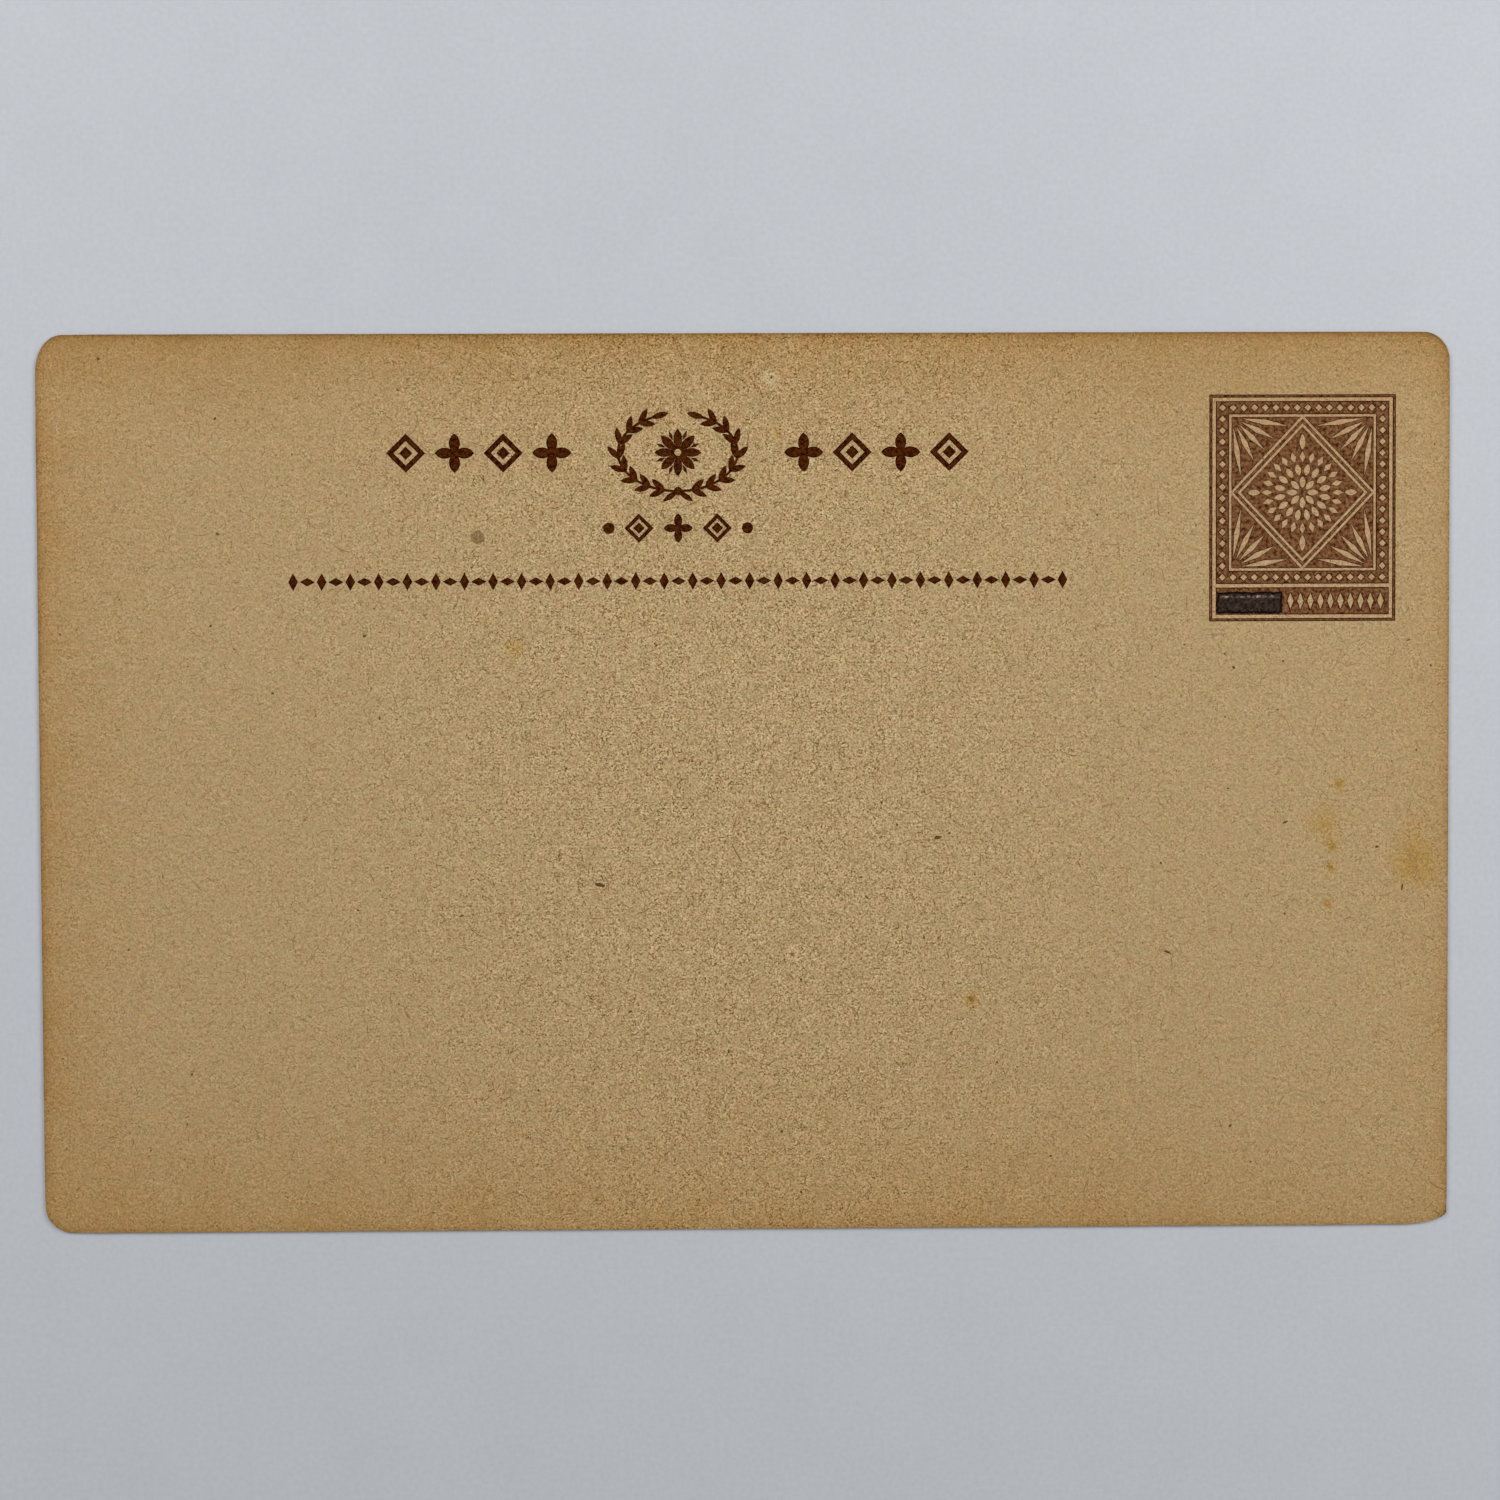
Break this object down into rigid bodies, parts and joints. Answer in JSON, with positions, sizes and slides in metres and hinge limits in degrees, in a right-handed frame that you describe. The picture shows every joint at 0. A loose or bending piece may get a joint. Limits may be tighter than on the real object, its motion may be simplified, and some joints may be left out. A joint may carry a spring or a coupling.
{
  "type": "postcard",
  "caption": "Old postal card of buff pasteboard with worn corners, a stamp imprint at the top right and rows of printed ornaments in brown ink on the address side.",
  "frame": {"origin": "centre of the card's back face, on the surface that it lies on", "axes": "+X along the long side in the reading direction, +Y towards the top edge, +Z out of the printed address side"},
  "size_m": [0.1396, 0.0888, 0.0003],
  "materials": {
    "card": "unglazed, toned with age, fibres showing",
    "paste": "dried starch paste",
    "brown_ink": "matt letterpress ink, worn",
    "black_ink": "matt overprint ink, worn"
  },
  "bodies": {
    "root": {"back_ply": "card", "back_paste": "paste", "middle_ply": "card", "front_paste": "paste", "face_ply": "card", "stamp_frame": "brown_ink", "stamp_border": "brown_ink", "stamp_corners": "brown_ink", "stamp_medallion": "brown_ink", "stamp_foot": "brown_ink", "overprint_bar": "black_ink", "crest_wreath": "brown_ink", "crest_flower": "brown_ink", "heading_left": "brown_ink", "heading_right": "brown_ink", "name_ornament": "brown_ink", "direction_rule": "brown_ink"}
  },
  "joints": []
}
